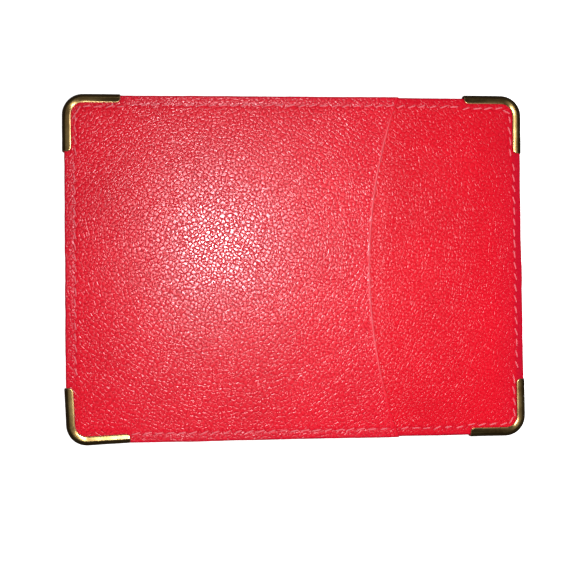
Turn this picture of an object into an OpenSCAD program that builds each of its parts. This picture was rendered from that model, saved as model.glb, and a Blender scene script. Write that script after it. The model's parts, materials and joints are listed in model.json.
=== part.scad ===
// Flat leather card holder with a slip pocket on each face.
// Two turned-edge leather panels are laid back to back over a stiffening
// board. A pocket leather, lined with cloth and hemmed at its mouth, is sewn
// to each face along three sides. A pressed metal corner grips the edge at
// each of the four corners.
// Frame: +X along the long side, +Y along the short side, +Z up out of the
// front face. The holder lies on its back face, z = 0, centred on X and Y.

/* [Leather outline] */
// Length of the leather
body_w = 102; // [98:0.5:106]
// Height of the leather
body_h = 76; // [72:0.5:80]
// Corner radius of the leather
corner_r = 4.6; // [4.4:0.1:5]
// How far the panels stop short of the pocket leather at the edge
panel_inset = 0.15; // [0:0.05:0.2]

/* [Leather and board] */
// Thickness of the two outer panels
panel_t = 0.6; // [0.5:0.05:0.7]
// Thickness that the panel's turned-in margin is pared to
margin_t = 0.25; // [0.2:0.05:0.3]
// Width of the turned-in margin
margin_w = 7; // [6:0.5:8]
// Thickness of the pocket leather
pocket_t = 0.55; // [0.5:0.05:0.65]
// Thickness of the pocket's cloth lining
lining_t = 0.15; // [0.1:0.05:0.2]
// Width of the hem turned in at the pocket's mouth
hem_w = 6; // [4:0.5:8]

/* [Card pocket] */
// Clear gap behind the pocket leather, for one card of 0.76
card_gap = 0.9; // [0.85:0.05:1.1]
// Flat sewn edge of the pocket leather, before it starts to rise
flat_edge = 2.6; // [2.6:0.1:3]
// Distance from the edge at which the pocket leather lies level again
level_edge = 6; // [5.5:0.1:7]
// Radius of the hollow curve of the mouth
mouth_r = 114; // [105:1:125]
// X of the deepest point of the mouth's curve
mouth_x = 16.1; // [12:0.1:20]
// Y of the deepest point of the mouth's curve
mouth_y = -1.4; // [-3:0.1:3]

/* [Stitching] */
// Distance from one stitch to the next
stitch_pitch = 2.48; // [2.2:0.02:3]
// Length of the thread that shows in one stitch
stitch_len = 1.7; // [1.4:0.05:1.9]
// Thickness of the thread
thread_d = 0.42; // [0.35:0.01:0.45]
// Height that the thread stands above the leather
thread_h = 0.22; // [0.15:0.01:0.3]
// Slant of each stitch from the line of the seam
stitch_slant = 12; // [0:1:16]

/* [Metal corners] */
// Sheet thickness of the corners
sheet = 0.35; // [0.3:0.05:0.4]
// Width of the corner's flange over the leather
flange = 2; // [1.9:0.05:2.05]
// Outer radius of the corner in plan
metal_r = 4.6; // [4.4:0.1:4.8]
// Outer radius of the rolled edge in section
roll_r = 1; // [0.8:0.05:1.1]
// Radius on the inner corner of each leg's end
leg_end_r = 0.9; // [0.5:0.1:1.2]

/* [Hidden] */
// Levels above the mid-plane, where the two panels' margins meet.
z_board = margin_t;
z_panel = z_board + panel_t;
z_flange = z_panel + pocket_t;
z_gap = z_panel + card_gap;
z_lining = z_gap + lining_t;
z_top = z_lining + pocket_t;
// The mid-plane stands this high above the resting face.
z_mid = z_top;
// Room in the leather's edge for the metal, which presses it in.
press = 0.7;
press_leg = 13.9;
// Height of the edge inside a corner: two panels and one pocket leather.
grip = z_panel + z_flange;
skirt_shift = 0.4;
// Seam's distance from the edge on the left, top, right and bottom.
seam = [2.2, 2.1, 1.75, 1.95];
// Seam's distance from the edge beside a corner's flange.
seam_in = 2.45;
row_end = 14.6;

// One row per corner: side in X and Y, how far the metal stands outside the
// leather in X and Y, turn, length of the leg along X and along Y.
TL = [-1, 1, 0.44, 0.36, 0, 12.7, 12.7];
TR = [1, 1, 0.25, 0.46, -0.5, 13.1, 13.1];
BR = [1, -1, 0.1, 0.27, 0, 12.7, 12.8];
BL = [-1, -1, -0.15, 0.6, 2.5, 13.7, 12.7];

leather = "crimson";
cloth = "firebrick";
thread = "indianred";
gilt = "darkgoldenrod";

// Places a piece that is drawn about the mid-plane.
module lift() { translate([0, 0, z_mid]) children(); }

// Turns a front piece over, as a page turns, to make the one on the back.
module turned() { rotate([0, 180, 0]) children(); }

module round_rect(w, h, r) {
    union() {
        square([w - 2 * r, h], center = true);
        square([w, h - 2 * r], center = true);
        for (sx = [-1, 1], sy = [-1, 1])
            translate([sx * (w / 2 - r), sy * (h / 2 - r)]) circle(r, $fn = 64);
    }
}

// Outline of the leather, set in at each corner where the metal presses it.
module outline(inset) {
    w = body_w - 2 * inset;
    h = body_h - 2 * inset;
    union() {
        square([w, body_h - 2 * press_leg], center = true);
        square([body_w - 2 * press_leg, h], center = true);
        round_rect(body_w - 2 * press, body_h - 2 * press, corner_r - press);
    }
}

// Everything to the right of the pocket's mouth.
module mouth_side(grow, z0, z1) {
    translate([mouth_x + mouth_r, mouth_y, z0])
        cylinder(h = z1 - z0, r = mouth_r + grow, $fn = 256);
}

module panel() {
    union() {
        translate([0, 0, z_board]) linear_extrude(panel_t) outline(panel_inset);
        linear_extrude(margin_t) difference() {
            outline(panel_inset);
            square([body_w - 2 * margin_w, body_h - 2 * margin_w], center = true);
        }
    }
}

// Height profile over a span of length s: level z0 at both ends, rising
// between a and b from the end to level z1, closed off at level zb.
function rise(s, a, b, z0, z1, zb) = [
    [-s / 2, zb], [-s / 2, z0], [-s / 2 + a, z0], [-s / 2 + b, z1],
    [s / 2 - b, z1], [s / 2 - a, z0], [s / 2, z0], [s / 2, zb]
];

// The same, rising at the left end only.
function rise_left(s, a, b, z0, z1, zb) = [
    [-s / 2, zb], [-s / 2, z0], [-s / 2 + a, z0], [-s / 2 + b, z1],
    [s / 2, z1], [s / 2, zb]
];

module along_y(len, pts) {
    translate([0, len / 2, 0]) rotate([90, 0, 0]) linear_extrude(len) polygon(pts);
}

module along_x(len, pts) {
    translate([-len / 2, 0, 0]) rotate([90, 0, 90]) linear_extrude(len) polygon(pts);
}

// A pillow with a flat rim, a sloping skirt and a level top.
module pillow(a, b, z0, z1, zb) {
    intersection() {
        along_y(body_h, rise_left(body_w, a, b, z0, z1, zb));
        along_x(body_w, rise(body_h, a, b, z0, z1, zb));
    }
}

// The space behind the pocket leather.
module pocket_room() {
    a = flat_edge + skirt_shift;
    b = level_edge + skirt_shift;
    w = body_w;
    h = body_h;
    intersection() {
        along_y(h - 2 * a, [
            [-w / 2 + a, z_panel], [-w / 2 + b, z_lining],
            [w / 2 - a, z_lining], [w / 2 - a, z_panel]
        ]);
        along_x(w, [
            [-h / 2 + a, z_panel], [-h / 2 + b, z_lining],
            [h / 2 - b, z_lining], [h / 2 - a, z_panel]
        ]);
    }
}

module pocket() {
    difference() {
        intersection() {
            pillow(flat_edge, level_edge, z_flange, z_top, z_panel);
            translate([0, 0, z_panel]) linear_extrude(z_top) outline(0);
        }
        difference() {
            pocket_room();
            // hem turned in along the mouth, level with the lining
            mouth_side(hem_w, z_gap, z_lining + 1);
        }
        mouth_side(0, 0, z_top + 1);
    }
}

module lining() {
    b = level_edge + skirt_shift;
    difference() {
        translate([-body_w / 2 + b, -body_h / 2 + b, z_gap])
            cube([body_w - 2 * b, body_h - 2 * b, lining_t]);
        mouth_side(hem_w, z_gap - 1, z_lining + 1);
    }
}

// One stitch: the thread that shows between two needle holes.
module stitch() {
    l = stitch_len - thread_d;
    linear_extrude(thread_h) union() {
        square([l, thread_d], center = true);
        for (s = [-1, 1]) translate([s * l / 2, 0]) circle(thread_d / 2, $fn = 16);
    }
}

// X of the mouth's edge at height y on the face.
function mouth_at(y) =
    mouth_x + mouth_r - sqrt(mouth_r * mouth_r - (y - mouth_y) * (y - mouth_y));

// Puts stitches along a straight line from p in direction a, n of them.
// Those left of the mouth lie on the pocket leather and the rest on the panel.
module row(p, a, n) {
    for (i = [0:n - 1]) {
        x = p[0] + cos(a) * stitch_pitch * i;
        y = p[1] + sin(a) * stitch_pitch * i;
        over = x - mouth_at(y);
        if (abs(over) > 0.95)
            translate([x, y, over < 0 ? z_flange : z_panel])
                rotate([0, 0, a + stitch_slant]) stitch();
    }
}

// Number of stitches on a side of length s, between the corners' legs.
function count(s) = floor((s - 2 * row_end) / stitch_pitch) + 1;

// Offset that centres a row of n stitches on a side.
function start(s, n) = -(n - 1) * stitch_pitch / 2;

module corner_row(c) {
    x = c[0] * (body_w / 2 - seam_in);
    y = c[1] * (body_h / 2 - seam_in);
    for (i = [1:4]) {
        row([x - c[0] * i * stitch_pitch, y], 0, 1);
        row([x, y - c[1] * i * stitch_pitch], 90, 1);
    }
    row([x - c[0] * 0.75, y - c[1] * 0.75], -c[0] * c[1] * 45, 1);
}

// The whole seam of one face. A corner whose flange covers the seam has no
// row of its own.
module seam_rows() {
    nx = count(body_w);
    ny = count(body_h);
    row([start(body_w, nx), body_h / 2 - seam[1]], 0, nx);
    row([start(body_w, nx), -body_h / 2 + seam[3]], 0, nx);
    row([-body_w / 2 + seam[0], start(body_h, ny)], 90, ny);
    row([body_w / 2 - seam[2], start(body_h, ny)], 90, ny);
    corner_row(TL);
    corner_row(TR);
    corner_row(BR);
}

// Section of a corner: a rolled channel open to the right, its outer wall at
// x = 0, its inside as high as the leather edge that it grips.
module channel() {
    h = grip + 2 * sheet;
    r = roll_r;
    ri = 0.3;
    difference() {
        union() {
            translate([r, -h / 2]) square([flange - r, h]);
            translate([0, -h / 2 + r]) square([flange, h - 2 * r]);
            for (s = [-1, 1]) translate([r, s * (h / 2 - r)]) circle(r, $fn = 48);
        }
        union() {
            translate([sheet + ri, -grip / 2]) square([flange, grip]);
            translate([sheet, -grip / 2 + ri]) square([flange, grip - 2 * ri]);
            for (s = [-1, 1])
                translate([sheet + ri, s * (grip / 2 - ri)]) circle(ri, $fn = 24);
        }
    }
}

// One straight leg from the bend to length l, rounded at its free end.
module leg(l) {
    difference() {
        translate([metal_r, 0, 0]) rotate([90, 0, 90])
            linear_extrude(l - metal_r) channel();
        translate([l - leg_end_r, flange - leg_end_r, -3]) linear_extrude(6)
            difference() {
                square(leg_end_r + 1);
                circle(leg_end_r, $fn = 32);
            }
    }
}

// A corner drawn with its outer faces on the X and Y axes.
module metal(lx, ly) {
    union() {
        leg(lx);
        mirror([1, -1, 0]) leg(ly);
        translate([metal_r, metal_r, 0]) rotate([0, 0, 180])
            rotate_extrude(angle = 90, $fn = 96)
                translate([metal_r, 0]) mirror([1, 0]) channel();
    }
}

module corner(c) {
    // On the left the front pocket is in the edge, on the right the back one.
    zc = -c[0] * (z_flange - z_panel) / 2;
    translate([c[0] * (body_w / 2 + c[2]), c[1] * (body_h / 2 + c[3]), zc])
        rotate([0, 0, c[4]])
            mirror([c[0] > 0 ? 1 : 0, 0, 0]) mirror([0, c[1] > 0 ? 1 : 0, 0])
                metal(c[5], c[6]);
}

module front_panel() { color(leather) lift() panel(); }
module front_pocket() { color(leather) lift() pocket(); }
module front_pocket_lining() { color(cloth) lift() lining(); }
module front_stitching() { color(thread) lift() seam_rows(); }

module core_board() {
    color("gray") lift() translate([0, 0, -z_board]) linear_extrude(2 * z_board)
        round_rect(body_w - 2 * margin_w - 0.4, body_h - 2 * margin_w - 0.4, 1);
}

module back_panel() { color(leather) lift() turned() panel(); }
module back_pocket() { color(leather) lift() turned() pocket(); }
module back_pocket_lining() { color(cloth) lift() turned() lining(); }
module back_stitching() { color(thread) lift() turned() seam_rows(); }

module corner_top_left() { color(gilt) lift() corner(TL); }
module corner_top_right() { color(gilt) lift() corner(TR); }
module corner_bottom_right() { color(gilt) lift() corner(BR); }
module corner_bottom_left() { color(gilt) lift() corner(BL); }

front_panel();
front_pocket();
front_pocket_lining();
front_stitching();
core_board();
back_panel();
back_pocket();
back_pocket_lining();
back_stitching();
corner_top_left();
corner_top_right();
corner_bottom_right();
corner_bottom_left();
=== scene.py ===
"""Looks of the red leather card holder with gilt corners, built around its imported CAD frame."""
import json
import math

import bpy
import numpy as np
from mathutils import Euler, Matrix, Vector

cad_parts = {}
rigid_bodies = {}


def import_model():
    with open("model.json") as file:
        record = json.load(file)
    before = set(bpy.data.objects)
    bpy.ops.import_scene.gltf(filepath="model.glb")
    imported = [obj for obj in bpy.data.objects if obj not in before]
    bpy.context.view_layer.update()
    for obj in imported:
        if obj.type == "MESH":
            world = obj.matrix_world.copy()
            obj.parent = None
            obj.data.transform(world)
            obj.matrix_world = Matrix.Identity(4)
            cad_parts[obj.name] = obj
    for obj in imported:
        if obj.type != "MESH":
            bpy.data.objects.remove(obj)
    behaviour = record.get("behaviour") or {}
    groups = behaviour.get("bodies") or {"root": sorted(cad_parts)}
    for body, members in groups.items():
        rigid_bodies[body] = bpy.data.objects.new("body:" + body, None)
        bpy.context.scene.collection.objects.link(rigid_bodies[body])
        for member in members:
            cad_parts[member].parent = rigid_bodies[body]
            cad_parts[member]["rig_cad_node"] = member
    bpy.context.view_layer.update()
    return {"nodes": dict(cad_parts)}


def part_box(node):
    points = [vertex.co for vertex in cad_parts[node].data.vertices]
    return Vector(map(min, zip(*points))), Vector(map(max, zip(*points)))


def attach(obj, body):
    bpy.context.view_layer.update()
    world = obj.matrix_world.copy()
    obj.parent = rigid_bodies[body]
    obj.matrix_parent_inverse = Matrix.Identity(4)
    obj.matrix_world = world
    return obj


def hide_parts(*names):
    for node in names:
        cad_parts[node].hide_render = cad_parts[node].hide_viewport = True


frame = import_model()
MM = 0.001


# ---------------------------------------------------------------- the frame
def box_mm(node):
    lo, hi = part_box(node)
    return np.array(lo) * 1000, np.array(hi) * 1000


panel_lo, panel_hi = box_mm("front_panel")
pocket_lo, pocket_hi = box_mm("front_pocket")
lining_lo, lining_hi = box_mm("front_pocket_lining")
Z_MID = float(panel_lo[2])                 # the two panels' margins meet here
PANEL = float(panel_hi[2]) - Z_MID         # outer face of a panel, from the mid-plane
POCKET_T = 0.55                            # pocket leather
FLANGE = PANEL + POCKET_T                  # its outer face where it is sewn down
TOP = float(pocket_hi[2]) - Z_MID          # most that the pocket may stand up
HW, HH = -float(pocket_lo[0]), float(pocket_hi[1])   # half size of the leather
CORNER_R = 4.6
MOUTH_R, MOUTH_X, MOUTH_Y = 114.0, 16.1, -1.4
SEAM = (2.2, 2.1, 1.75, 1.95)              # left, top, right, bottom
SEAM_IN = 2.45
PITCH = 2.48
# side in x and y, metal outside the leather in x and y, turn, legs along x and y
CORNERS = {
    "corner_top_left": (-1, 1, 0.44, 0.36, 0.0, 12.7, 12.7),
    "corner_top_right": (1, 1, 0.25, 0.46, -0.5, 13.1, 13.1),
    "corner_bottom_right": (1, -1, 0.10, 0.27, 0.0, 12.7, 12.8),
    "corner_bottom_left": (-1, -1, -0.15, 0.60, 2.5, 13.7, 12.7),
}


# ------------------------------------------------------------------- noise
def hash01(ix, iy, k):
    h = (ix.astype(np.uint64) * np.uint64(374761393)
         + iy.astype(np.uint64) * np.uint64(668265263)
         + np.uint64(k * 974711 + 12345)) & np.uint64(0xFFFFFFFF)
    h = ((h ^ (h >> np.uint64(13))) * np.uint64(1274126177)) & np.uint64(0xFFFFFFFF)
    h = ((h ^ (h >> np.uint64(15))) * np.uint64(2246822519)) & np.uint64(0xFFFFFFFF)
    h = h ^ (h >> np.uint64(16))
    return (h & np.uint64(0xFFFFFF)).astype(np.float64) / float(0x1000000)


def cells(v):
    f = np.floor(v)
    return (f.astype(np.int64) + 4096), v - f


def noise(x, y, k):
    """Smooth value noise from 0 to 1."""
    ix, fx = cells(x)
    iy, fy = cells(y)
    ux = fx * fx * fx * (fx * (fx * 6 - 15) + 10)
    uy = fy * fy * fy * (fy * (fy * 6 - 15) + 10)
    a, b = hash01(ix, iy, k), hash01(ix + 1, iy, k)
    c, d = hash01(ix, iy + 1, k), hash01(ix + 1, iy + 1, k)
    return (a + (b - a) * ux) * (1 - uy) + (c + (d - c) * ux) * uy


def fbm(x, y, k, octaves=3):
    total, size, weight = 0.0, 1.0, 0.5
    for i in range(octaves):
        total = total + weight * (noise(x * size, y * size, k + 17 * i) - 0.5)
        size *= 2.03
        weight *= 0.5
    return total


def smooth(a, b, v):
    t = np.clip((v - a) / (b - a), 0, 1)
    return t * t * (3 - 2 * t)


def skin(x, y, k):
    """The soft unevenness of the hide itself, about -1 to 1: its pebbled grain is finer than this."""
    return (0.55 * fbm(x / 1.5, y / 1.5, k + 3, 2) + 0.45 * fbm(x / 3.4, y / 3.4, k + 5, 2)) * 2.0


# ------------------------------------------------- the leather's own shapes
def mouth_at(y):
    return MOUTH_X + MOUTH_R - np.sqrt(MOUTH_R ** 2 - (y - MOUTH_Y) ** 2)


def edge_distance(x, y, hw, hh, r):
    """Distance inside a rounded rectangle, 0 on its outline."""
    qx, qy = np.abs(x) - (hw - r), np.abs(y) - (hh - r)
    outside = np.hypot(np.maximum(qx, 0), np.maximum(qy, 0))
    return r - outside - np.minimum(np.maximum(qx, qy), 0)


def in_corner(x, y):
    """From 0 to 1: how far the leather lies in a metal corner's grip, by edge."""
    gx, gy = np.zeros(x.shape), np.zeros(x.shape)
    for sx, sy, ox, oy, turn, lx, ly in CORNERS.values():
        ax, ay = HW - sx * x, HH - sy * y       # distance from this corner's sides
        ex, ey = lx - ox, ly - oy               # where the legs end
        gy = np.maximum(gy, smooth(ex - 0.15, ex - 0.9, ax) * (ay < 16))
        gx = np.maximum(gx, smooth(ey - 0.15, ey - 0.9, ay) * (ax < 16))
    return gx, gy


def shift_outline(x, y, k):
    """Moves points near the edge as hand cutting, turning and the metal's grip do."""
    gx, gy = in_corner(x, y)
    dx, dy = HW - np.abs(x), HH - np.abs(y)
    wx, wy = np.exp(-(np.maximum(dx, 0) / 3.0) ** 2), np.exp(-(np.maximum(dy, 0) / 3.0) ** 2)
    side_x, side_y = np.sign(x), np.sign(y)
    wave_y = 0.30 * fbm(x / 9.0 + 3.3 * side_y, 0 * x + 5.5, k + 60, 3) + 0.10 * fbm(x / 1.3, 0 * x + 1.5 * side_y, k + 62, 2)
    wave_x = 0.26 * fbm(y / 8.0 + 7.1 * side_x, 0 * y + 2.5, k + 61, 3) + 0.10 * fbm(y / 1.3, 0 * y + 1.5 * side_x, k + 63, 2)
    bite_y, bite_x = gy * 0.62, gx * 0.62
    return (x + side_x * wx * (wave_x * (1 - gx) - bite_x),
            y + side_y * wy * (wave_y * (1 - gy) - bite_y))


def seam_distance(x, y):
    """Signed distance from the seam line: negative between it and the edge."""
    left, top, right, bottom = SEAM
    gx, gy = in_corner(x, y)
    d = np.stack([x + HW - (left + (SEAM_IN - left) * gx),
                  HH - y - (top + (SEAM_IN - top) * gy),
                  HW - x - (right + (SEAM_IN - right) * gx),
                  y + HH - (bottom + (SEAM_IN - bottom) * gy)])
    return d.min(0)


def seam_relief(x, y):
    """The thread pulls the leather down along the seam and leaves a welt outside it."""
    s = seam_distance(x, y)
    return -0.030 * np.exp(-(s / 0.30) ** 2)


def grip_relief(x, y):
    """The flanges press the leather down beside and below them."""
    out = np.zeros(x.shape)
    for sx, sy, ox, oy, turn, lx, ly in CORNERS.values():
        ax, ay = HW - sx * x, HH - sy * y
        along_x = smooth(lx + 0.9, lx - 0.6, ax) * smooth(2.9, 1.7, ay)
        along_y = smooth(ly + 0.9, ly - 0.6, ay) * smooth(2.9, 1.7, ax)
        out = np.maximum(out, np.maximum(along_x, along_y))
    return -0.07 * out


def crown(x, y, w0, w1):
    """From 0 along three sewn sides to 1 well inside them."""
    return smooth(w0, w1, x + HW) * smooth(w0, w1, HH - y) * smooth(w0, w1, HH + y)


def dome(x, y):
    """A gentle even swell from the three sewn sides to the middle."""
    def side(d, w):
        return np.sin(np.clip((d - 1.9) / w, 0, 1) * math.pi / 2)
    return side(x + HW, 34.0) * side(HH - y, 36.0) * side(HH + y, 36.0)


SWELL = {100: 0.58, 900: 1.05}                 # front, back: it lies on the fuller side


def pocket_top(x, y, k):
    """Outer face of the pocket leather, without grain, from the mid-plane."""
    over = mouth_at(y) - x                       # distance inside the mouth
    lift = SWELL[k] * dome(x, y) * (1 - 0.46 * np.exp(-(np.maximum(over, 0) / 17.0) ** 2))
    lift = lift + 0.05 * fbm(x / 18, y / 18, k + 70, 2) * crown(x, y, 2.3, 10.0)
    # the hem's turned edge shows as a faint ridge behind the mouth
    ridge = 0.012 * np.exp(-((over - 6.0) / 0.9) ** 2) * crown(x, y, 2.3, 6.0)
    lip = 0.020 * np.exp(-((over - 0.30) / 0.17) ** 2) - 0.012 * np.exp(-((over - 0.85) / 0.30) ** 2)
    lip = lip * smooth(1.5, 8.0, HH - np.abs(y))
    return FLANGE + lift + ridge + lip + seam_relief(x, y) + grip_relief(x, y)


def panel_top(x, y, k):
    """Outer face of the panel, without grain, from the mid-plane."""
    inside = smooth(2.2, 12.0, HW - x) * smooth(2.2, 12.0, HH - np.abs(y))
    t = PANEL + 0.16 * inside + 0.05 * fbm(x / 14, y / 14, k + 75, 2) * inside
    over = x - mouth_at(y)
    t = t - 0.10 * np.exp(-(np.maximum(over, 0) / 2.5) ** 2) * inside
    t = t - 0.17 * (1 - smooth(-0.6, 2.8, HW - x)) - 0.06 * (1 - smooth(0.0, 2.2, HH - np.abs(y)))
    return t + seam_relief(x, y) + grip_relief(x, y)


# -------------------------------------------------------------- mesh making
def new_mesh(name, verts, faces, back=False, uv=None, point_values=None):
    """An object from millimetres about the mid-plane. back turns it over like a page."""
    v = np.array(verts, float).reshape(-1, 3)
    if back:
        v = v * np.array([-1.0, 1.0, -1.0])
    v = v + np.array([0, 0, Z_MID])
    me = bpy.data.meshes.new(name)
    me.vertices.add(len(v))
    me.vertices.foreach_set("co", (v * MM).astype(np.float32).ravel())
    sizes = np.array([len(f) for f in faces], np.int32)
    loops = np.fromiter((i for f in faces for i in f), np.int32, int(sizes.sum()))
    me.loops.add(len(loops))
    me.loops.foreach_set("vertex_index", loops)
    me.polygons.add(len(sizes))
    starts = np.concatenate([[0], np.cumsum(sizes)[:-1]]).astype(np.int32)
    me.polygons.foreach_set("loop_start", starts)
    me.polygons.foreach_set("loop_total", sizes)
    me.polygons.foreach_set("use_smooth", np.ones(len(sizes), bool))
    if uv is not None:
        layer = me.uv_layers.new(name="OFBake")
        layer.data.foreach_set("uv", uv(loops, sizes).astype(np.float32).ravel())
    me.update(calc_edges=True)
    for key, values in (point_values or {}).items():
        a = me.attributes.new(key, "FLOAT", "POINT")
        a.data.foreach_set("value", np.asarray(values, np.float32).ravel())
    me.validate()
    ob = bpy.data.objects.new(name, me)
    bpy.context.collection.objects.link(ob)
    return ob


EDGE = np.array([0, .025, .07, .14, .23, .34, .48, .66, .86])


def across(a, b, n, lo_edge=True, hi_edge=True):
    """n even steps from a to b, with close steps at the chosen ends. a, b may be arrays."""
    a, b = np.asarray(a, float)[..., None], np.asarray(b, float)[..., None]
    lo = EDGE if lo_edge else EDGE[:1]
    hi = EDGE[::-1] if hi_edge else EDGE[:1]
    inner = np.linspace(0, 1, n + 1)[1:-1]
    start, end = a + lo[-1], b - hi[0]
    return np.concatenate([a + lo, start + (end - start) * inner, b - hi], -1)


def row_places(step):
    return across(-HH, HH, int(round((2 * HH - 2 * EDGE[-1]) / step)))


def leather_shell(name, left, right, step, cols, top, bottom, half, edge_fn, k,
                  inset=0.0, unevenness=0.010, crease_shade_amount=(0.48, 0.74), right_edge_shade=0.0, back=False, pits=None, extra=None):
    """A closed sheet of leather: a fine outer face, a rounded edge all round, and a plain inner face.
    left and right give the sheet's ends for each row, cols its column places from 0 to 1 within the close-stepped ends."""
    ys = row_places(step) * (HH - inset) / HH
    nr = len(ys)
    x = cols(left(ys), right(ys))
    nc = x.shape[1]
    y = np.repeat(ys[:, None], nc, 1)
    d = edge_fn(x, y)
    q = np.sqrt(np.clip(1 - (1 - np.clip(d, 0, half) / half) ** 2, 0, 1))
    zt, zb = top(x, y), bottom(x, y)
    mid = zb + half
    outer = edge_distance(x, y, HW - inset, HH - inset, CORNER_R - inset)
    flatten = smooth(0.06, 0.34, outer) * np.where(d < outer - 1e-6, smooth(0.40, 0.62, d), 1.0)
    s = seam_distance(x, y)
    calm = 1 - 0.25 * np.exp(-(s / 0.4) ** 2)
    z = mid + (zt - mid) * q
    z = z + skin(x, y, k) * unevenness * flatten * calm
    # painted crease shade: how much darker the creases are coloured, most around the spot where the key light's
    # highlight falls, fading out with the grain towards the edges
    g = (crease_shade_amount[0] + (crease_shade_amount[1] - crease_shade_amount[0])
         * np.exp(-((x + 18.5) ** 2 + (y - 7.0) ** 2) / 24.0 ** 2)) * np.minimum(flatten + 0.0, 1)
    # needle holes: sunk into the surface here, and the material colours them darker as painted shade
    hole = np.zeros(x.shape)
    if pits is not None:
        for px, py in pits:
            near = (np.abs(x - px) < 0.9) & (np.abs(y - py) < 0.9)
            if near.any():
                r2 = (x[near] - px) ** 2 + (y[near] - py) ** 2
                hole[near] = np.maximum(hole[near], np.exp(-r2 / 0.040))
        z = z - 0.06 * hole
    bx, by = shift_outline(x, y, k)
    fine = np.stack([bx, by, z], -1).reshape(-1, 3)
    index = np.arange(nr * nc).reshape(nr, nc)
    quads = np.stack([index[:-1, :-1], index[:-1, 1:], index[1:, 1:], index[1:, :-1]], -1)
    faces = [tuple(f) for f in quads.reshape(-1, 4).tolist()]
    n_top = len(faces)
    # inner face: the same rows, with few columns
    ne = len(EDGE)
    keep = sorted(set(range(0, ne)) | set(range(nc - ne, nc))
                  | set(range(ne, nc - ne, 18)))
    kz = mid + (zb - mid) * q
    low = -np.ones((nr, nc), np.int64)
    low[0], low[-1], low[:, 0], low[:, -1] = index[0], index[-1], index[:, 0], index[:, -1]
    extra_v = []
    n = nr * nc
    for j in range(1, nr - 1):
        for i in keep[1:-1]:
            low[j, i] = n
            n += 1
            extra_v.append((bx[j, i], by[j, i], kz[j, i]))
    for a, b in zip(keep, keep[1:]):
        faces.append(tuple([int(low[1, a]), int(low[1, b])]
                           + [int(low[0, c]) for c in range(b, a - 1, -1)]))
        faces.append(tuple([int(low[-2, b]), int(low[-2, a])]
                           + [int(low[-1, c]) for c in range(a, b + 1)]))
        for j in range(1, nr - 2):
            faces.append((int(low[j, a]), int(low[j + 1, a]), int(low[j + 1, b]), int(low[j, b])))
    verts = np.concatenate([fine, np.array(extra_v).reshape(-1, 3)])
    rest = len(extra_v)
    gg = np.concatenate([g.ravel(), np.zeros(rest)])
    hh = np.concatenate([hole.ravel(), np.zeros(rest)])
    # the dressed edge is coloured deeper; painted shade darkens a strip along the panel's right edge, where it rolls
    # down
    rim = np.maximum(1 - smooth(0.0, 0.75, outer), right_edge_shade * (1 - 0.72 * smooth(1.0, 2.6, HW - x) - 0.28 * smooth(2.6, 8.0, HW - x)))
    # and the colour is a little darker within about 2.8 mm of every edge
    rim = np.maximum(rim, 0.30 * (1 - smooth(1.6, 2.8, outer)))
    rim = np.concatenate([rim.ravel(), np.ones(rest)])
    # painted highlight: a paler line along the pocket's folded mouth, fading towards its top and bottom ends
    painted_fold_highlight = np.where(d < outer - 1e-6, 1 - smooth(0.34, 0.52, d), 0.0) * smooth(1.0, 9.0, HH - y) * smooth(4.0, 22.0, HH + y)
    painted_fold_highlight = np.concatenate([painted_fold_highlight.ravel(), np.zeros(rest)])
    inner = np.concatenate([np.zeros(nr * nc), np.ones(rest)])

    def uv(loops, sizes):
        p = verts[loops]
        u = (p[:, 0] - verts[:, 0].min()) / (2 * HW + 1)
        v = (p[:, 1] - verts[:, 1].min()) / (2 * HW + 1)
        wide = (verts[:, 0].max() - verts[:, 0].min()) / (2 * HW + 1)
        fit = 0.90 / max(wide, 2 * HH / (2 * HW + 1))
        face = np.repeat(np.arange(len(sizes)), sizes)
        under = face >= n_top
        out = np.stack([0.01 + u * fit, 0.01 + v * fit], -1)
        if wide * fit < 0.86 or wide > 0.8:
            # the inner face goes in the strip that the outer one leaves free
            if wide > 0.8:
                strip = np.stack([0.01 + u * fit, 0.93 + 0.06 * v], -1)
                strip[:, 1] = 0.92 + 0.07 * (v / (2 * HH / (2 * HW + 1)))
            else:
                strip = np.stack([0.93 + 0.06 * u / wide, 0.01 + v * fit], -1)
        else:
            strip = np.stack([0.93 + 0.06 * u / wide, 0.01 + v * fit], -1)
        out[under] = strip[under]
        return out

    return new_mesh(name, verts, faces, back, uv,
                    {"grain_fade_and_crease_shade": gg, "hole": hh, "rim": rim, "inner": inner, "painted_fold_highlight": painted_fold_highlight})


# ------------------------------------------------------------ the seam rows
def seam_stitches():
    """(x, y, direction, on_pocket) of each stitch of one face, as in the CAD seam."""
    out = []

    def row(p, a, n):
        for i in range(n):
            x = p[0] + math.cos(a) * PITCH * i
            y = p[1] + math.sin(a) * PITCH * i
            over = x - float(mouth_at(np.array(y)))
            if abs(over) > 0.95:
                out.append((x, y, a, over < 0))

    def count(s):
        return int(math.floor((s - 2 * 14.6) / PITCH)) + 1

    nx, ny = count(2 * HW), count(2 * HH)
    x0, y0 = -(nx - 1) * PITCH / 2, -(ny - 1) * PITCH / 2
    row((x0, HH - SEAM[1]), 0, nx)
    row((x0, -HH + SEAM[3]), 0, nx)
    row((-HW + SEAM[0], y0), math.pi / 2, ny)
    row((HW - SEAM[2], y0), math.pi / 2, ny)
    for name in ("corner_top_left", "corner_top_right", "corner_bottom_right"):
        cx, cy = CORNERS[name][:2]
        x, y = cx * (HW - SEAM_IN), cy * (HH - SEAM_IN)
        for i in range(1, 5):
            row((x - cx * i * PITCH, y), 0, 1)
            row((x, y - cy * i * PITCH), math.pi / 2, 1)
        row((x - cx * 0.75, y - cy * 0.75), -cx * cy * math.pi / 4, 1)
    return out


STITCHES = seam_stitches()
SLANT = math.radians(12)
STITCH_LEN = 1.7


def stitch_ends():
    pits = []
    for x, y, a, _ in STITCHES:
        t = a + SLANT
        for s in (-1, 1):
            pits.append((x + s * 0.92 * math.cos(t), y + s * 0.92 * math.sin(t)))
    return pits


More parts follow.
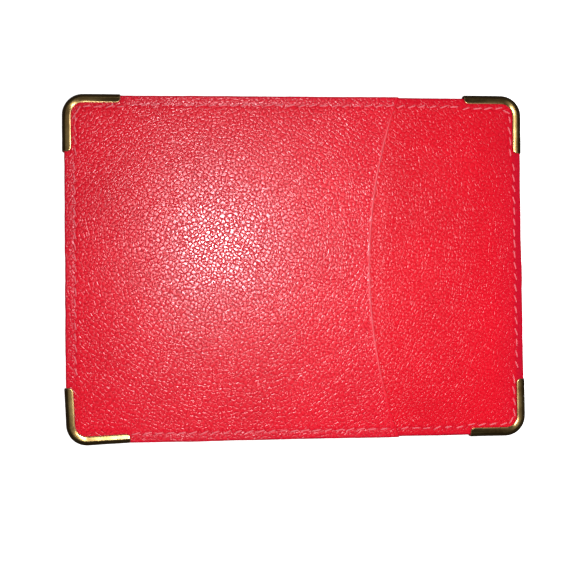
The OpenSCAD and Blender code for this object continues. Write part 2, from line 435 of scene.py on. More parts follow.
def stitching(name, back):
    """The thread that shows: one short length of three-ply thread to a stitch, pulled down into its two needle holes."""
    rng = np.random.default_rng(5 if back else 4)
    sides, rings = 12, 17
    verts, faces, ply = [], [], []
    for x, y, a, on_pocket in STITCHES:
        t = a + SLANT + 0.04 + rng.normal(0, 0.09)
        length = STITCH_LEN * (1 + rng.normal(0, 0.05)) + 0.20
        jx, jy = rng.normal(0, 0.04, 2)
        base = (pocket_top if on_pocket else panel_top)(
            np.array([x]), np.array([y]), 900 if back else 100)[0]
        r0 = 0.145 * (1 + rng.normal(0, 0.06))
        phase = rng.uniform(0, 6.28)
        lift = 0.045 + rng.normal(0, 0.012)
        c, s = math.cos(t), math.sin(t)
        first = len(verts)
        for i in range(rings):
            u = -1 + 2 * i / (rings - 1)
            along = u * length / 2
            rise = lift - 0.26 * abs(u) ** 3.0
            slope = math.atan(-0.26 * 3.0 * abs(u) ** 2.0 * (1 if u > 0 else -1) / (length / 2))
            pinch = 1 - 0.25 * abs(u) ** 4
            for j in range(sides):
                b = 2 * math.pi * j / sides
                lobe = 1 + 0.13 * math.cos(3 * (b + phase + u * 3.4))
                r = r0 * pinch * lobe
                side, up = r * math.cos(b) * 1.10, r * math.sin(b) * 0.88
                al = along - up * math.sin(slope)
                verts.append((x + jx + c * al - s * side, y + jy + s * al + c * side,
                              base + rise + up * math.cos(slope)))
                ply.append(0.5 + 0.5 * math.cos(3 * (b + phase + u * 3.4)))
        for i in range(rings - 1):
            for j in range(sides):
                k = (j + 1) % sides
                a0, a1 = first + i * sides + j, first + i * sides + k
                b0, b1 = a0 + sides, a1 + sides
                faces.append((a0, b0, b1, a1))
        faces.append(tuple(first + j for j in range(sides)))
        last = first + (rings - 1) * sides
        faces.append(tuple(last + j for j in range(sides - 1, -1, -1)))
    return new_mesh(name, verts, faces, back, None, {"ply": ply})


# -------------------------------------------------------------- the linings
def lining(name, back):
    """The thin cloth behind the pocket leather, as far as the hem turned in at the mouth."""
    b = -float(lining_lo[0])
    h = float(lining_hi[1])
    ny, nx = 64, 60
    ys = np.linspace(-h, h, ny)
    right = np.minimum(mouth_at(ys) - 6.0, 60)
    u = np.linspace(0, 1, nx)
    x = -b + (right[:, None] + b) * u[None, :]
    y = np.repeat(ys[:, None], nx, 1)
    under = pocket_under(x, y, 900 if back else 100)
    # it hangs a hair below the leather, with the faint quilting of cloth glued in patches
    top = under - 0.012 - 0.02 * (0.5 + fbm(x / 7, y / 7, 300 + back, 2))
    t = 0.13
    v_top = np.stack([x, y, top], -1).reshape(-1, 3)
    v_low = np.stack([x, y, top - t], -1).reshape(-1, 3)
    index = np.arange(ny * nx).reshape(ny, nx)
    n = ny * nx
    faces = []
    for q, flip in ((index, False), (index + n, True)):
        f = np.stack([q[:-1, :-1], q[:-1, 1:], q[1:, 1:], q[1:, :-1]], -1).reshape(-1, 4)
        faces += [tuple(r[::-1] if flip else r) for r in f.tolist()]
    ring = list(index[0, :]) + list(index[1:, -1]) + list(index[-1, :-1][::-1]) + list(index[1:-1, 0][::-1])
    for a, c in zip(ring, ring[1:] + ring[:1]):
        faces.append((int(c), int(a), int(a + n), int(c + n)))
    return new_mesh(name, np.concatenate([v_top, v_low]), faces, back)


# ------------------------------------------------------------ metal corners
ROLL, ROLL_W, SHEET, METAL_R, FLANGE_W, END_R = 1.0, 1.0, 0.27, 4.6, 2.0, 0.9
GRIP = PANEL + FLANGE + 0.70                # outer height of the metal
# Slope of each front flange towards the leather, in degrees, next to the roll and at its inner edge:
# at the end of the leg along x, near the elbow on it, round the elbow, on the other leg near the elbow, at its end.
TILT = {
    "corner_top_left": ((-14.0, -12.0), (-9.0, -2.0), (-2.0, 9.0), (-8.0, -2.0), (-9.0, -3.5)),
    "corner_top_right": ((-12.0, -9.0), (-8.0, 3.0), (4.0, 18.0), (4.0, 18.0), (3.0, 16.0)),
    "corner_bottom_right": ((-13.0, -8.0), (-9.0, 1.0), (1.0, 16.0), (-1.0, 13.0), (-3.0, 12.0)),
    "corner_bottom_left": ((7.5, 10.5), (7.0, 10.5), (0.0, 11.0), (-4.0, 4.0), (-5.0, 3.0)),
}


def painted_roll_shade(deg):
    """Painted dark reflection over the roll: none on the flat, full on its shoulder, little on the upright edge."""
    return float(min(1.0, deg / 28) * (1 - 0.75 * smooth(55, 82, deg)))


def metal_corner(name, back_tilt=(1.0, 6.0)):
    sx, sy, ox, oy, turn, lx, ly = CORNERS[name]
    end_x, near_x, elbow, near_y, end_y = (np.array(t) for t in TILT[name])
    k = 500 + 10 * list(CORNERS).index(name)
    ends = np.array([0, .03, .08, .15, .24, .34, .46, .60, .75, .9])
    # stations: (kind, parameter, distance from the nearer end)
    st = []
    for e in ends:
        st.append(("x", lx - e, e))
    for v in np.linspace(lx - 1.25, METAL_R, 20):
        st.append(("x", v, 9))
    for a in np.linspace(270, 180, 25)[1:-1]:
        st.append(("a", a, 9))
    for v in np.linspace(METAL_R, ly - 1.25, 20):
        st.append(("y", v, 9))
    for e in ends[::-1]:
        st.append(("y", ly - e, e))
    H = GRIP / 2
    verts, faces, rim, side = [], [], [], []
    ring_n = None
    for kind, v, e in st:
        if kind == "x":
            p, n = (v, 0.0), (0.0, 1.0)
            tilt = near_x + (end_x - near_x) * smooth(METAL_R, lx, v)
        elif kind == "y":
            p, n = (0.0, v), (1.0, 0.0)
            tilt = near_y + (end_y - near_y) * smooth(METAL_R, ly, v)
        else:
            c, s = math.cos(math.radians(v)), math.sin(math.radians(v))
            p = (METAL_R + METAL_R * c, METAL_R + METAL_R * s)
            n = (-c, -s)
            w = (270 - v) / 90
            tilt = (near_x + (elbow - near_x) * smooth(0, 0.5, w) if w < 0.5
                    else elbow + (near_y - elbow) * smooth(0.5, 1, w))
        tip = FLANGE_W if e >= END_R else FLANGE_W - END_R + math.sqrt(max(0, END_R ** 2 - (END_R - e) ** 2))
        cut = 0.07 * (1 - min(e, 0.30) / 0.30) ** 2      # worn roundness of the cut end
        t = SHEET
        # side: how much painted dark reflection each point takes
        profile = []     # (d, z, rim, side) of the outer face, front tip to back tip

        def flange(sign, deg):
            out = []
            for f in (0.0, 0.05, 0.11, 0.18, 0.28, 0.40, 0.55, 0.7, 0.85, 0.94):
                d = tip + (ROLL_W - tip) * f if tip > ROLL_W else tip * (1 - 0.2 * f)
                run = max(d - ROLL_W, 0.0)
                s0, s1 = math.radians(deg[0]), math.radians(deg[1])
                drop = s0 * run + (s1 - s0) * run * run / 2 / (FLANGE_W - ROLL_W)
                bevel = 0.045 * max(0.0, 1 - f / 0.30) ** 2
                r = max(0.0, 1 - f / 0.22)
                out.append((d, sign * (H - drop - bevel), r, 0.0))
            return out

        profile += flange(1, tilt)
        for a in np.linspace(90, 180, 11):
            ca, sa = math.cos(math.radians(a)), math.sin(math.radians(a))
            profile.append((ROLL_W + ROLL_W * ca, H - ROLL + ROLL * sa, 0.0, painted_roll_shade(a - 90)))
        for a in np.linspace(180, 270, 11):
            ca, sa = math.cos(math.radians(a)), math.sin(math.radians(a))
            profile.append((ROLL_W + ROLL_W * ca, -H + ROLL + ROLL * sa, 0.0, painted_roll_shade(270 - a)))
        profile += flange(-1, back_tilt)[::-1]
        P = np.array([q[:2] for q in profile])
        # normals of the outer line, to set the inner face at the sheet's thickness
        T = np.gradient(P, axis=0)
        N = np.stack([T[:, 1], -T[:, 0]], -1)
        N /= np.linalg.norm(N, axis=1)[:, None]
        # the outer line runs front tip -> roll -> back tip, so N as built points inwards or outwards alike
        mid = P[len(P) // 2 - 6:len(P) // 2 + 6].mean(0)
        if ((np.array([1.2, 0.0]) - mid) @ N[len(P) // 2]) < 0:
            N = -N
        outer = P + N * cut
        innr = P + N * (t - cut)
        ring = [(o[0], o[1], q[2], q[3]) for o, q in zip(outer, profile)]
        # the two tips are closed with a rounded lip
        ring += [(float((outer[-1][0] + innr[-1][0]) / 2) + 0.03, float((outer[-1][1] + innr[-1][1]) / 2), 1.0, 0.0)]
        # the sheet's inner face, turned to the leather, also gets painted shade
        ring += [(i_[0], i_[1], 0.4, 0.6) for i_ in innr[::-1]]
        ring += [(float((outer[0][0] + innr[0][0]) / 2) + 0.03, float((outer[0][1] + innr[0][1]) / 2), 1.0, 0.0)]
        ring_n = len(ring)
        for d, z, r_, s_ in ring:
            verts.append((p[0] + n[0] * d, p[1] + n[1] * d, z))
            rim.append(max(r_, 1.0 - min(e, 0.22) / 0.22))
            side.append(s_)
    ns = len(st)
    for i in range(ns - 1):
        for j in range(ring_n):
            m = (j + 1) % ring_n
            a0, a1 = i * ring_n + j, i * ring_n + m
            faces.append((a0, a1, a1 + ring_n, a0 + ring_n))
    # the two cut ends, closed strip by strip across the sheet
    half = (ring_n - 2) // 2
    for base, flip in ((0, False), ((ns - 1) * ring_n, True)):
        for j in range(half - 1):
            o0, o1 = base + j, base + j + 1
            i0, i1 = base + ring_n - 2 - j, base + ring_n - 3 - j
            f = (o0, i0, i1, o1)
            faces.append(f if not flip else f[::-1])
        f = (base + half - 1, base + half + 1, base + half)
        faces.append(f if not flip else f[::-1])
        f = (base, base + ring_n - 1, base + ring_n - 2)
        faces.append(f if not flip else f[::-1])
    v = np.array(verts)
    # hand crimping leaves the sheet slightly uneven
    v[:, 2] += 0.05 * fbm(v[:, 0] / 3.1, v[:, 1] / 3.1, k, 2) * np.sign(v[:, 2])
    out = 0.10 * fbm(v[:, 0] / 4.0, v[:, 1] / 4.0, k + 3, 2)
    v[:, 0] += out
    v[:, 1] += out * 0.6
    # into place: mirror to its side, turn, and set out from the leather
    v[:, 0] *= -1 if sx > 0 else 1
    v[:, 1] *= -1 if sy > 0 else 1
    if (sx > 0) != (sy > 0):
        faces = [f[::-1] for f in faces]
    a = math.radians(turn)
    x = v[:, 0] * math.cos(a) - v[:, 1] * math.sin(a) + sx * (HW + ox)
    y = v[:, 0] * math.sin(a) + v[:, 1] * math.cos(a) + sy * (HH + oy)
    z = v[:, 2] - sx * (FLANGE - PANEL) / 2
    v = np.stack([x, y, z], -1)
    ob = new_mesh(name.replace("corner_", "gilt_corner_"), v, faces, False, None,
                  {"rim": rim, "side": side})
    return ob


# --------------------------------------------------------------- materials
def nodes_of(name):
    m = bpy.data.materials.new(name)
    m.use_nodes = True
    nt = m.node_tree
    nt.nodes.clear()
    out = nt.nodes.new("ShaderNodeOutputMaterial")
    p = nt.nodes.new("ShaderNodeBsdfPrincipled")
    nt.links.new(p.outputs[0], out.inputs[0])
    return m, nt, p


def attr(nt, name):
    a = nt.nodes.new("ShaderNodeAttribute")
    a.attribute_name = name
    return a.outputs["Fac"]


def tex(nt, kind, scale, **kw):
    n = nt.nodes.new("ShaderNodeTex" + kind)
    n.inputs["Scale"].default_value = scale
    for key, value in kw.items():
        if key in n.inputs:
            n.inputs[key].default_value = value
        else:
            setattr(n, key, value)
    c = nt.nodes.new("ShaderNodeTexCoord")
    nt.links.new(c.outputs["Object"], n.inputs["Vector"])
    return n


def ramp(nt, source, stops):
    r = nt.nodes.new("ShaderNodeValToRGB")
    nt.links.new(source, r.inputs[0])
    e = r.color_ramp.elements
    while len(e) > 1:
        e.remove(e[-1])
    e[0].position, e[0].color = stops[0][0], (*stops[0][1], 1)
    for pos, col in stops[1:]:
        s = e.new(pos)
        s.color = (*col, 1)
    return r.outputs[0]


def mix(nt, fac, a, b, mode="MIX"):
    n = nt.nodes.new("ShaderNodeMix")
    n.data_type = "RGBA"
    n.blend_type = mode
    for socket, value in ((n.inputs[0], fac), (n.inputs[6], a), (n.inputs[7], b)):
        if hasattr(value, "is_output"):
            nt.links.new(value, socket)
        elif isinstance(value, (int, float)):
            socket.default_value = value
        else:
            socket.default_value = (*value, 1)
    return n.outputs[2]


def math_node(nt, op, a, b=0.0, c=0.0):
    n = nt.nodes.new("ShaderNodeMath")
    n.operation = op
    for socket, value in zip(n.inputs, (a, b, c)):
        if hasattr(value, "is_output"):
            nt.links.new(value, socket)
        else:
            socket.default_value = value
    return n.outputs[0]


def bump(nt, p, height, strength, distance, before=None):
    n = nt.nodes.new("ShaderNodeBump")
    n.inputs["Strength"].default_value = strength
    n.inputs["Distance"].default_value = distance
    nt.links.new(height, n.inputs["Height"])
    if before is not None:
        nt.links.new(before, n.inputs["Normal"])
    nt.links.new(n.outputs[0], p.inputs["Normal"])
    return n.outputs[0]


def vec(nt, op, a, b):
    n = nt.nodes.new("ShaderNodeVectorMath")
    n.operation = op
    for socket, value in ((n.inputs[0], a), (n.inputs[1], b)):
        if hasattr(value, "is_output"):
            nt.links.new(value, socket)
        else:
            socket.default_value = value
    return n


def scaled(nt, a, f):
    n = nt.nodes.new("ShaderNodeVectorMath")
    n.operation = "SCALE"
    nt.links.new(a, n.inputs[0])
    n.inputs["Scale"].default_value = f
    return n.outputs[0]


def steps(nt, source, lo, hi, to=(0.0, 1.0)):
    """A smooth step of a value from lo to hi."""
    n = nt.nodes.new("ShaderNodeMapRange")
    n.interpolation_type = "SMOOTHSTEP"
    nt.links.new(source, n.inputs["Value"])
    for key, v in (("From Min", lo), ("From Max", hi), ("To Min", to[0]), ("To Max", to[1])):
        n.inputs[key].default_value = v
    return n.outputs[0]


def goat_grain(nt, offset, pitch):
    """Goat grain: flat-topped pebbles that run together in short chains, with fine creases and a few pores.
    Returns its height, 0 in a crease to 1 on a pebble, and the small tilt of each pebble."""
    c = nt.nodes.new("ShaderNodeTexCoord")
    turned = nt.nodes.new("ShaderNodeMapping")
    turned.inputs["Location"].default_value = offset
    turned.inputs["Rotation"].default_value = (0, 0, 0.62)
    nt.links.new(c.outputs["Object"], turned.inputs["Vector"])
    at = turned.outputs[0]
    flat = vec(nt, "MULTIPLY", at, (1, 1, 0)).outputs[0]
    for scale, reach in ((450.0, 0.00042), (115.0, 0.0016)):
        n = nt.nodes.new("ShaderNodeTexNoise")
        n.inputs["Scale"].default_value = scale
        n.inputs["Detail"].default_value = 1.0
        nt.links.new(flat, n.inputs["Vector"])
        push = scaled(nt, vec(nt, "SUBTRACT", n.outputs["Color"], (0.5, 0.5, 0.5)).outputs[0], reach)
        at = vec(nt, "ADD", at, push).outputs[0]
    cell = nt.nodes.new("ShaderNodeTexVoronoi")
    wall = nt.nodes.new("ShaderNodeTexVoronoi")
    wall.feature = "DISTANCE_TO_EDGE"
    for n in (cell, wall):
        n.voronoi_dimensions = "2D"
        n.inputs["Scale"].default_value = 1.0 / pitch
        n.inputs["Randomness"].default_value = 0.88
        nt.links.new(at, n.inputs["Vector"])
    chain = nt.nodes.new("ShaderNodeTexGabor")
    chain.gabor_type = "2D"
    chain.inputs["Scale"].default_value = 1.0 / (WAVES * pitch)
    chain.inputs["Frequency"].default_value = WAVES
    chain.inputs["Anisotropy"].default_value = 0.0
    nt.links.new(at, chain.inputs["Vector"])
    along = steps(nt, chain.outputs["Value"], 0.28, 0.45)
    crease = steps(nt, wall.outputs["Distance"], 0.0, CREASE, (1.0, 0.0))
    crease = math_node(nt, "MULTIPLY", crease, steps(nt, chain.outputs["Value"], 0.45, 0.68, (0.9, 0.35)))
    f1 = cell.outputs["Distance"]
    dome = math_node(nt, "MULTIPLY_ADD", math_node(nt, "MULTIPLY", f1, f1), DOME, 1.0)
    top = math_node(nt, "MULTIPLY", math_node(nt, "SUBTRACT", 1.0, crease), dome)
    top = math_node(nt, "MULTIPLY", top, math_node(nt, "MULTIPLY_ADD", along, CHAIN, 1.0 - CHAIN))
    pick = nt.nodes.new("ShaderNodeSeparateColor")
    nt.links.new(cell.outputs["Color"], pick.inputs[0])
    pore = math_node(nt, "MULTIPLY", steps(nt, f1, 0.05, 0.26, (0.65, 0.0)),
                     math_node(nt, "GREATER_THAN", pick.outputs[2], 0.66))
    top = math_node(nt, "MAXIMUM", math_node(nt, "SUBTRACT", top, pore), 0.0)
    here = vec(nt, "SUBTRACT", scaled(nt, at, 1.0), cell.outputs["Position"]).outputs[0]
    lean = vec(nt, "SUBTRACT", cell.outputs["Color"], (0.5, 0.5, 0.5)).outputs[0]
    dot = nt.nodes.new("ShaderNodeVectorMath")
    dot.operation = "DOT_PRODUCT"
    nt.links.new(here, dot.inputs[0])
    nt.links.new(lean, dot.inputs[1])
    return top, math_node(nt, "MULTIPLY", dot.outputs["Value"], 1000.0)


CREASE = 0.22
WAVES = 1.6
CHAIN = 0.85


def leather_material(name, crease_shade_colour, mid, light, painted_fold_highlight, rough_top, rough_low, spec, offset, pitch, depth):
    m, nt, p = nodes_of(name)
    top, lean = goat_grain(nt, offset, pitch)
    grain_fade_and_shade = attr(nt, "grain_fade_and_crease_shade")
    g = math_node(nt, "SUBTRACT", 1.0, math_node(nt, "MULTIPLY", math_node(nt, "SUBTRACT", 1.0, top), grain_fade_and_shade))
    broad = tex(nt, "Noise", 60.0, Detail=3.0, Roughness=0.55)
    fine = tex(nt, "Noise", 2600.0, Detail=3.0, Roughness=0.6)
    # painted crease shade: the colour darkens from the pebble tops down into the creases
    base = ramp(nt, g, [(0.0, crease_shade_colour), (0.35, tuple(0.45 * a + 0.55 * b for a, b in zip(crease_shade_colour, mid))),
                        (0.66, mid), (0.95, light)])
    tone = ramp(nt, broad.outputs["Fac"], [(0.30, (0.90, 0.86, 0.88)), (0.70, (1.0, 1.0, 1.0))])
    base = mix(nt, 1.0, base, tone, "MULTIPLY")
    speck = ramp(nt, fine.outputs["Fac"], [(0.35, (0.90, 0.86, 0.88)), (0.65, (1.0, 1.0, 1.0))])
    base = mix(nt, 0.7, base, speck, "MULTIPLY")
    # the dressed edge is a deeper colour, with painted shade along the panel's right edge; the fold at the mouth gets a
    # paler painted highlight;
    # the needle holes get painted shade, and the inner side is bare suede
    base = mix(nt, math_node(nt, "MULTIPLY", attr(nt, "rim"), 0.60), base, (0.42, 0.008, 0.030))
    base = mix(nt, math_node(nt, "MULTIPLY", attr(nt, "painted_fold_highlight"), 0.80), base, painted_fold_highlight)
    base = mix(nt, math_node(nt, "MULTIPLY", attr(nt, "hole"), 0.30), base, (0.08, 0.001, 0.004))
    base = mix(nt, attr(nt, "inner"), base, (0.42, 0.055, 0.06))
    nt.links.new(base, p.inputs["Base Color"])
    rough = math_node(nt, "MULTIPLY_ADD", g, rough_top - rough_low, rough_low)
    rough = math_node(nt, "MULTIPLY_ADD", fine.outputs["Fac"], 0.08, rough)
    rough = math_node(nt, "SUBTRACT", rough, 0.04)
    rough = math_node(nt, "MULTIPLY_ADD", attr(nt, "inner"), 0.4, rough)
    nt.links.new(rough, p.inputs["Roughness"])
    shine = math_node(nt, "MULTIPLY_ADD", math_node(nt, "POWER", g, 1.6), 0.90 * spec, 0.10 * spec)
    shine = math_node(nt, "MULTIPLY", shine, steps(nt, attr(nt, "rim"), 0.0, 1.0, (1.0, 0.15)))
    # polished by the thumb toward the mouth, duller toward the closed end
    c = nt.nodes.new("ShaderNodeTexCoord")
    xyz = nt.nodes.new("ShaderNodeSeparateXYZ")
    nt.links.new(c.outputs["Object"], xyz.inputs[0])
    shine = math_node(nt, "MULTIPLY", shine, steps(nt, xyz.outputs[0], -0.050, -0.022, (0.55, 1.0)))
    nt.links.new(shine, p.inputs["Specular IOR Level"])
    p.inputs["Specular Tint"].default_value = (1.0, 0.88, 0.97, 1.0)
    # height in tenths of a millimetre
    relief = math_node(nt, "MULTIPLY_ADD", top, depth, math_node(nt, "MULTIPLY", lean, TILTED))
    relief = math_node(nt, "MULTIPLY_ADD", fine.outputs["Fac"], 0.02, relief)
    relief = math_node(nt, "MULTIPLY", relief, steps(nt, grain_fade_and_shade, 0.0, 0.3))
    bump(nt, p, relief, 1.0, 0.0001)
    return m


TILTED = 0.12
DOME = -0.35


def thread_material():
    m, nt, p = nodes_of("red_thread")
    fuzz = tex(nt, "Noise", 9000.0, Detail=2.0)
    # painted shade: the grooves between the three plies are coloured darker than their crests
    base = ramp(nt, attr(nt, "ply"), [(0.0, (0.88, 0.10, 0.14)), (0.5, (0.98, 0.19, 0.23)),
                                      (1.0, (1.0, 0.27, 0.31))])
    tone = ramp(nt, fuzz.outputs["Fac"], [(0.3, (0.86, 0.80, 0.80)), (0.7, (1, 1, 1))])
    nt.links.new(mix(nt, 0.8, base, tone, "MULTIPLY"), p.inputs["Base Color"])
    nt.links.new(math_node(nt, "MULTIPLY_ADD", fuzz.outputs["Fac"], 0.22, 0.44), p.inputs["Roughness"])
    bump(nt, p, fuzz.outputs["Fac"], 0.15, 0.00004)
    p.inputs["Specular IOR Level"].default_value = 0.12
    return m


def gilt_material():
    m, nt, p = nodes_of("gilt_metal")
    p.inputs["Metallic"].default_value = 1.0
    cloud = tex(nt, "Noise", 330.0, Detail=4.0, Roughness=0.60)
    spots = tex(nt, "Noise", 1500.0, Detail=3.0, Roughness=0.6)
    scratch = tex(nt, "Noise", 700.0, Detail=2.0, Roughness=0.5, Distortion=1.2)
    gold, olive, dark = (0.88, 0.62, 0.24), (0.62, 0.39, 0.14), (0.055, 0.031, 0.014)
    base = ramp(nt, cloud.outputs["Fac"], [(0.36, olive), (0.60, gold)])
    tone = ramp(nt, spots.outputs["Fac"], [(0.30, (0.72, 0.67, 0.60)), (0.52, (1, 1, 1))])
    base = mix(nt, 0.30, base, tone, "MULTIPLY")
    # painted dark reflection: the roll's shoulder and the sheet's inner face take a near-black colour
    base = mix(nt, math_node(nt, "MULTIPLY", attr(nt, "side"), 0.94), base, dark)
    base = mix(nt, math_node(nt, "MULTIPLY", attr(nt, "rim"), 0.45), base, (0.90, 0.66, 0.42))
    nt.links.new(base, p.inputs["Base Color"])
    rough = math_node(nt, "MULTIPLY_ADD", spots.outputs["Fac"], 0.06, 0.21)
    rough = math_node(nt, "MULTIPLY_ADD", attr(nt, "side"), 0.12, rough)
    rough = math_node(nt, "MULTIPLY_ADD", attr(nt, "rim"), 0.16, rough)
    nt.links.new(rough, p.inputs["Roughness"])
    b = bump(nt, p, scratch.outputs["Fac"], 0.05, 0.00006)
    bump(nt, p, spots.outputs["Fac"], 0.02, 0.00003, b)
    return m


def cloth_material():
    m, nt, p = nodes_of("red_lining")
    c = nt.nodes.new("ShaderNodeTexCoord")
    warp = nt.nodes.new("ShaderNodeTexWave")
    weft = nt.nodes.new("ShaderNodeTexWave")
    for w, axis in ((warp, "X"), (weft, "Y")):
        w.bands_direction = axis
        w.inputs["Scale"].default_value = 780.0
        w.inputs["Distortion"].default_value = 0.6
        nt.links.new(c.outputs["Object"], w.inputs["Vector"])
    weave = math_node(nt, "MAXIMUM", warp.outputs["Fac"], weft.outputs["Fac"])
    nt.links.new(ramp(nt, weave, [(0.2, (0.16, 0.006, 0.012)), (1.0, (0.45, 0.025, 0.04))]),
                 p.inputs["Base Color"])
    p.inputs["Roughness"].default_value = 0.85
    p.inputs["Sheen Weight"].default_value = 0.3
    bump(nt, p, weave, 0.5, 0.00008)
    return m


def board_material():
    m, nt, p = nodes_of("grey_board")
    fibre = tex(nt, "Noise", 1500.0, Detail=5.0, Roughness=0.7)
    nt.links.new(ramp(nt, fibre.outputs["Fac"], [(0.3, (0.20, 0.17, 0.13)), (0.7, (0.36, 0.31, 0.24))]),
                 p.inputs["Base Color"])
    p.inputs["Roughness"].default_value = 0.95
    bump(nt, p, fibre.outputs["Fac"], 0.4, 0.0001)
    return m


LEATHER_POCKET = leather_material("red_leather_pocket", (0.20, 0.0006, 0.016), (0.86, 0.002, 0.018),
                                  (0.98, 0.003, 0.024), (0.95, 0.14, 0.17), 0.225, 0.31, 0.78,
                                  (0.0, 0.0, 0.0), 0.00088, 0.29)
LEATHER_PANEL = leather_material("red_leather_panel", (0.50, 0.0006, 0.010), (0.84, 0.0012, 0.015),
                                 (0.93, 0.002, 0.019), (0.90, 0.05, 0.07), 0.24, 0.32, 0.56,
                                 (0.031, 0.017, 0.0), 0.00088, 0.38)
THREAD = thread_material()
GILT = gilt_material()
CLOTH = cloth_material()
BOARD = board_material()


# ------------------------------------------------------------------ pieces
PITS = stitch_ends()
HEM_T = 0.66                               # hem and lining side of the pocket leather


def pocket_under(x, y, k):
    """Inner face of the pocket leather: flat where it is sewn."""
    over = mouth_at(y) - x
    t = POCKET_T + 0.0 * x
    under = pocket_top(x, y, k) - t
    under = np.where(edge_distance(x, y, HW, HH, CORNER_R) < 3.0, np.maximum(under, PANEL), under)
    return np.maximum(under, PANEL + 0.02 * smooth(2.6, 4.0, edge_distance(x, y, HW, HH, CORNER_R)))


def side_at(y, hw, hh, r):
    """X of a rounded rectangle's side at height y."""
    q = np.clip(np.abs(y) - (hh - r), 0, r)
    return hw - r + np.sqrt(np.maximum(r * r - q * q, 0))


def pocket_piece(name, back, k, step):
    n = int(round((MOUTH_X + HW + 2.4) / step))

    def hem_under(x, y):
        over = mouth_at(y) - x
        hem = 0.14 * smooth(6.25, 5.95, over) * crown(x, y, 2.6, 4.0)
        return pocket_under(x, y, k) - hem

    def edge(x, y):
        d = edge_distance(x, y, HW, HH, CORNER_R)
        return np.minimum(d, mouth_at(y) - x)

    return leather_shell(
        name, lambda y: -side_at(y, HW, HH, CORNER_R), mouth_at, step,
        lambda a, b: across(a, b, n), lambda x, y: pocket_top(x, y, k), hem_under,
        POCKET_T / 2, edge, k, back=back, pits=PITS)


def panel_piece(name, back, k, step):
    hw, hh = float(panel_hi[0]), float(panel_hi[1])
    r = CORNER_R - 0.15
    n = int(round((HW - MOUTH_X - 1.0) / step))

    def cols(a, b):
        hidden = across(a, MOUTH_HIDE(a, b), 9, True, False)
        shown = across(MOUTH_HIDE(a, b), b, n, False, True)
        return np.concatenate([hidden, shown[..., 1:]], -1)

    def under(x, y):
        d = edge_distance(x, y, hw, hh, r)
        return 0.002 + 0.25 * smooth(6.7, 7.2, d)

    def top(x, y):
        t = panel_top(x, y, k)
        hid = smooth(0.8, 2.0, mouth_at(y) - x)
        return np.minimum(t, PANEL + 0.16) * (1 - hid) + (PANEL - 0.06) * hid

    return leather_shell(
        name, lambda y: -side_at(y, hw, hh, r), lambda y: side_at(y, hw, hh, r), step,
        cols, top, under, PANEL / 2, lambda x, y: edge_distance(x, y, hw, hh, r), k,
        inset=HH - hh, unevenness=0.010, crease_shade_amount=(0.48, 0.48), right_edge_shade=0.95, back=back,
        pits=PITS)


def MOUTH_HIDE(a, b):
    """X at which the panel's fine part starts: 2 mm behind the pocket's mouth."""
    ys = row_places(STEP_PANEL) * (float(panel_hi[1]) / HH)
    return mouth_at(ys) - 2.0


STEP_POCKET, STEP_PANEL = ((0.30, 0.30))


def dress(ob, material, slot, *nodes):
    ob.data.materials.clear()
    ob.data.materials.append(material)
    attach(ob, "root")
    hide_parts(*nodes)
    return ob


for back, word, k in ((False, "front", 100), (True, "back", 900)):
    pocket = dress(pocket_piece("leather_pocket_" + word, back, k, STEP_POCKET),
                   LEATHER_POCKET, "red_leather", word + "_pocket")
    panel = dress(panel_piece("leather_panel_" + word, back, k + 40, STEP_PANEL),
                  LEATHER_PANEL, "red_leather", word + "_panel")
    dress(stitching("thread_" + word, back), THREAD, "red_thread", word + "_stitching")
    cloth = dress(lining("lining_" + word, back), CLOTH, "red_lining", word + "_pocket_lining")

for name in CORNERS:
    dress(metal_corner(name), GILT, "gilt_metal", name)

for o in frame["nodes"].values():
    if o.get("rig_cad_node") == "core_board" or o.name == "core_board":
        for s in range(max(1, len(o.material_slots))):
            if len(o.material_slots) == 0:
                o.data.materials.append(BOARD)
            else:
                o.material_slots[s].material = BOARD


# -------------------------------------------------- floor, light and camera
scene = bpy.context.scene
scene.view_settings.view_transform = "Standard"
scene.view_settings.look = "None"
scene.view_settings.exposure = 0.0
scene.view_settings.gamma = 1.0

fl = bpy.data.meshes.new("floor")
s = 1.5
fl.from_pydata([(-s, -s, 0), (s, -s, 0), (s, s, 0), (-s, s, 0)], [], [(0, 1, 2, 3)])
floor = bpy.data.objects.new("floor", fl)
bpy.context.collection.objects.link(floor)
m, nt, p = nodes_of("pale_floor")
paper = tex(nt, "Noise", 40.0, Detail=2.0)
pale = ramp(nt, paper.outputs["Fac"], [(0.3, (0.93, 0.93, 0.93)), (0.7, (0.95, 0.95, 0.95))])
nt.links.new(pale, p.inputs["Base Color"])
nt.links.new(pale, p.inputs["Emission Color"])
p.inputs["Emission Strength"].default_value = 1.0
p.inputs["Roughness"].default_value = 1.0
p.inputs["Specular IOR Level"].default_value = 0.0
fl.materials.append(m)
floor.visible_glossy = False
floor.visible_diffuse = False

world = bpy.data.worlds.new("studio")
scene.world = world
world.use_nodes = True
world.cycles.sampling_method = "NONE"      # glossy and matt surfaces see different skies
wn = world.node_tree
wn.nodes.clear()
w_out = wn.nodes.new("ShaderNodeOutputWorld")
path = wn.nodes.new("ShaderNodeLightPath")
geo = wn.nodes.new("ShaderNodeTexCoord")
sep = wn.nodes.new("ShaderNodeSeparateXYZ")
wn.links.new(geo.outputs["Generated"], sep.inputs[0])


def grey(stops):
    """Brightness by height: stops are (z of the direction, brightness)."""
    r = wn.nodes.new("ShaderNodeValToRGB")
    wn.links.new(sep.outputs[2], r.inputs[0])
    e = r.color_ramp.elements
    while len(e) > 1:
        e.remove(e[-1])
    e[0].position, e[0].color = stops[0][0], (stops[0][1],) * 3 + (1,)
    for pos, v in stops[1:]:
        e.new(pos).color = (v, v, v, 1)
    return r.outputs[0]


def sky(stops):
    n = wn.nodes.new("ShaderNodeBackground")
    wn.links.new(grey(stops), n.inputs[0])
    return n


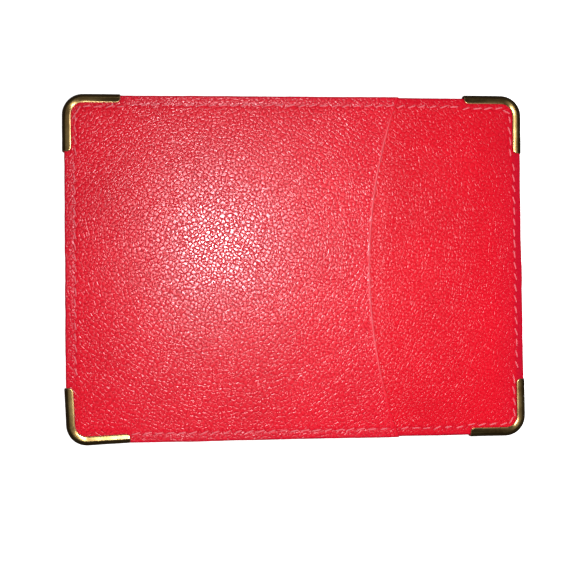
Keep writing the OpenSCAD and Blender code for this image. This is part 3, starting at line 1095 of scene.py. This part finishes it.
def mirror_sky(low, high, dim):
    """What polished things see: a pale band near the horizon, and a dark ceiling that is lighter
    overhead and falls to dim times itself toward the front and the back of the table."""
    size = wn.nodes.new("ShaderNodeMath")
    size.operation = "ABSOLUTE"
    wn.links.new(sep.outputs[1], size.inputs[0])
    part = wn.nodes.new("ShaderNodeMapRange")
    for k, v in zip(("From Min", "From Max", "To Min", "To Max"), (0.06, 0.30, 1.0, dim)):
        part.inputs[k].default_value = v
    wn.links.new(size.outputs[0], part.inputs["Value"])
    up = wn.nodes.new("ShaderNodeMath")
    up.operation = "MULTIPLY_ADD"
    wn.links.new(grey(high), up.inputs[0])
    wn.links.new(part.outputs[0], up.inputs[1])
    wn.links.new(grey(low), up.inputs[2])
    n = wn.nodes.new("ShaderNodeBackground")
    n.inputs[0].default_value = (1, 1, 1, 1)
    wn.links.new(up.outputs[0], n.inputs[1])
    return n


def switch(flag, a, b):
    n = wn.nodes.new("ShaderNodeMixShader")
    wn.links.new(path.outputs[flag], n.inputs[0])
    wn.links.new(a, n.inputs[1])
    wn.links.new(b, n.inputs[2])
    return n.outputs[0]


fill = sky([(0.02, 0.08), (0.80, 0.40)])
seen = sky([(0.0, 0.93), (1.0, 0.93)])
mirror = mirror_sky([(0.0, 0.12), (0.05, 0.20), (0.28, 0.28), (0.44, 0.18), (0.54, 0.0)],
                    [(0.50, 0.0), (0.60, 0.018), (0.86, 0.045), (0.985, 0.12)], 0.30)
wn.links.new(switch("Is Glossy Ray", switch("Is Camera Ray", fill.outputs[0], seen.outputs[0]),
                    mirror.outputs[0]), w_out.inputs[0])


def area(name, where, target, size, power, colour=(1, 1, 1), diffuse=True, glossy=True):
    light = bpy.data.lights.new(name, "AREA")
    light.shape, light.size, light.energy, light.color = "DISK", size, power, colour
    ob = bpy.data.objects.new(name, light)
    ob.location = where
    ob.rotation_mode = "QUATERNION"
    ob.rotation_quaternion = (Vector(target) - Vector(where)).to_track_quat("-Z", "Y")
    ob.visible_diffuse, ob.visible_glossy, ob.visible_camera = diffuse, glossy, False
    bpy.context.collection.objects.link(ob)
    return ob


CAM = (-0.0292, -0.0121, 0.280)
KEY = (-0.0078, 0.0261, 0.280)
SPOT = (-0.0185, 0.007, 0.004)
area("key", KEY, SPOT, 0.020, 0.31, (1.0, 0.985, 0.96), diffuse=False)
area("soft_right", (0.060, -0.005, 0.170), (0.035, -0.005, 0), 0.07, 0.21, glossy=False)
area("soft_left", (-0.080, -0.064, 0.090), (-0.040, -0.036, 0), 0.05, 0.026, glossy=False)

cam_data = bpy.data.cameras.new("camera")
cam = bpy.data.objects.new("camera", cam_data)
bpy.context.collection.objects.link(cam)
cam.location = CAM
cam.rotation_euler = Euler((math.radians(1.53), math.radians(-5.63), math.radians(-0.71)), "XYZ")
cam_data.sensor_width = 36.0
cam_data.lens = 1255.8 * 36.0 / 580.0
cam_data.clip_start, cam_data.clip_end = 0.01, 10.0
scene.camera = cam

bpy.context.view_layer.update()
